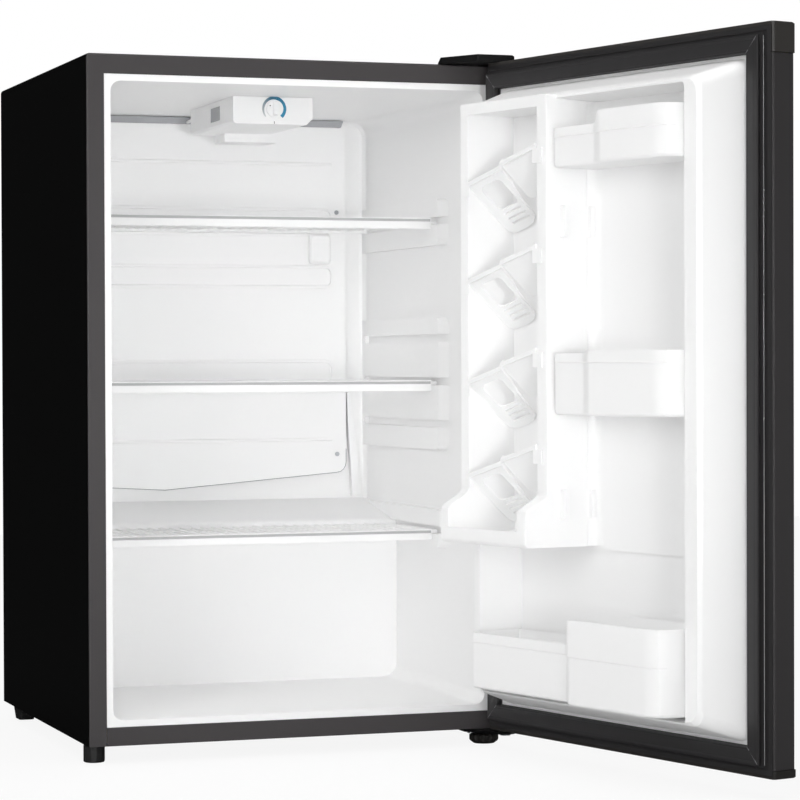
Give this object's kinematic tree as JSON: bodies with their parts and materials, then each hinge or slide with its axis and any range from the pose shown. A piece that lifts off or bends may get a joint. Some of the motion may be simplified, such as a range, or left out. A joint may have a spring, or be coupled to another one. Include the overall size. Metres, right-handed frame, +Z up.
{
  "type": "mini fridge",
  "caption": "Compact free-standing fridge standing open: black steel cabinet, white liner, wire shelves, and a right-hinged door with bins and a sloping can dispenser.",
  "frame": {"origin": "on the floor under the middle of the front left foot", "axes": "+Z up, +Y from the door to the back of the cabinet, +X from the left side to the hinge side"},
  "size_m": [0.6552, 1.0269, 0.84],
  "materials": {
    "black_painted_steel": "smooth satin black paint on sheet steel",
    "dark_grey_painted_steel": "satin dark grey paint on sheet steel",
    "black_plastic": "moulded, fine texture",
    "white_liner": "vacuum-formed, soft gloss",
    "white_plastic": "moulded, light satin",
    "rubber": "soft, matt",
    "gasket_vinyl": "extruded soft vinyl, satin",
    "foam": "rigid foam, hidden",
    "zinc_steel": "zinc plated",
    "copper": "drawn tube",
    "coated_wire": "white coated steel wire",
    "coated_plate": "white coated aluminium",
    "grey_lens": "moulded lens"
  },
  "bodies": {
    "cabinet": {"cabinet_shell": "black_painted_steel", "bottom_rail": "dark_grey_painted_steel", "back_panel": "black_painted_steel", "base_pan": "zinc_steel", "inner_liner": "white_liner", "cabinet_foam": "foam", "condenser_tube": "copper", "compressor": "black_painted_steel", "compressor_plate": "zinc_steel", "compressor_grommet_1": "rubber", "compressor_grommet_2": "rubber", "compressor_grommet_3": "rubber", "compressor_grommet_4": "rubber", "relay_cover": "black_plastic", "filter_drier": "copper", "discharge_tube": "copper", "suction_tube": "copper", "drip_tray": "black_plastic", "cord_gland": "rubber", "evaporator_plate": "coated_plate", "evaporator_screw_1": "zinc_steel", "evaporator_screw_2": "zinc_steel", "evaporator_screw_3": "zinc_steel", "evaporator_screw_4": "zinc_steel", "bulb_clip": "white_plastic", "tube_cover": "white_plastic", "thermostat_housing": "white_plastic", "thermostat": "white_plastic", "lamp_window": "grey_lens", "capillary_tube": "coated_wire", "top_hinge": "zinc_steel", "top_hinge_cover": "black_plastic", "top_hinge_pin": "zinc_steel", "bottom_hinge": "black_painted_steel", "bottom_hinge_pin": "zinc_steel", "bottom_hinge_screw_1": "zinc_steel", "bottom_hinge_screw_2": "zinc_steel", "rear_left_foot": "rubber", "rear_right_foot": "rubber"},
    "door": {"door_skin": "dark_grey_painted_steel", "door_top_cap": "black_plastic", "door_bottom_cap": "black_plastic", "door_liner": "white_liner", "door_foam": "foam", "door_gasket": "gasket_vinyl", "door_bush_top": "white_plastic", "door_bush_bottom": "white_plastic", "can_rack_1": "white_plastic", "can_rack_2": "white_plastic", "can_rack_3": "white_plastic", "can_rack_4": "white_plastic"},
    "temperature_knob": {"thermostat_knob": "white_plastic"},
    "left_foot": {"front_left_foot": "rubber"},
    "right_foot": {"front_right_foot": "black_plastic"},
    "top_shelf": {"shelf_top": "coated_wire"},
    "middle_shelf": {"shelf_middle": "coated_wire"},
    "bottom_shelf": {"shelf_bottom": "coated_wire"},
    "top_bin": {"door_bin_top": "white_plastic"},
    "middle_bin": {"door_bin_middle": "white_plastic"},
    "bottom_bin": {"door_bin_bottom": "white_plastic"}
  },
  "joints": [
    {"name": "door_hinge", "type": "hinge", "parent": "cabinet", "child": "door", "pos_m": [0.4995, -0.0548, 0.021], "axis": [0, 0, 1], "range_deg": [-104.3, 15.7]},
    {"name": "knob_turn", "type": "hinge", "parent": "cabinet", "child": "temperature_knob", "pos_m": [0.2574, 0.107, 0.7856], "axis": [0, 1, 0], "range_deg": [0, 270]},
    {"name": "left_foot_turn", "type": "hinge", "parent": "cabinet", "child": "left_foot", "pos_m": [0, 0, 0], "axis": [0, 0, 1], "range_deg": [-360, 360]},
    {"name": "right_foot_turn", "type": "hinge", "parent": "cabinet", "child": "right_foot", "pos_m": [0.4924, 0, 0], "axis": [0, 0, 1], "range_deg": [-360, 360]},
    {"name": "top_shelf_slide", "type": "slide", "parent": "cabinet", "child": "top_shelf", "axis": [0, -1, 0], "range_m": [0, 0.05]},
    {"name": "middle_shelf_slide", "type": "slide", "parent": "cabinet", "child": "middle_shelf", "axis": [0, -1, 0], "range_m": [0, 0.03]},
    {"name": "bottom_shelf_slide", "type": "slide", "parent": "cabinet", "child": "bottom_shelf", "axis": [0, -1, 0], "range_m": [0, 0.05]},
    {"name": "top_bin_lift", "type": "slide", "parent": "door", "child": "top_bin", "axis": [0, 0, 1], "range_m": [0, 0.013]},
    {"name": "middle_bin_lift", "type": "slide", "parent": "door", "child": "middle_bin", "axis": [0, 0, 1], "range_m": [0, 0.025]},
    {"name": "bottom_bin_lift", "type": "slide", "parent": "door", "child": "bottom_bin", "axis": [0, 0, 1], "range_m": [0, 0.025]}
  ]
}
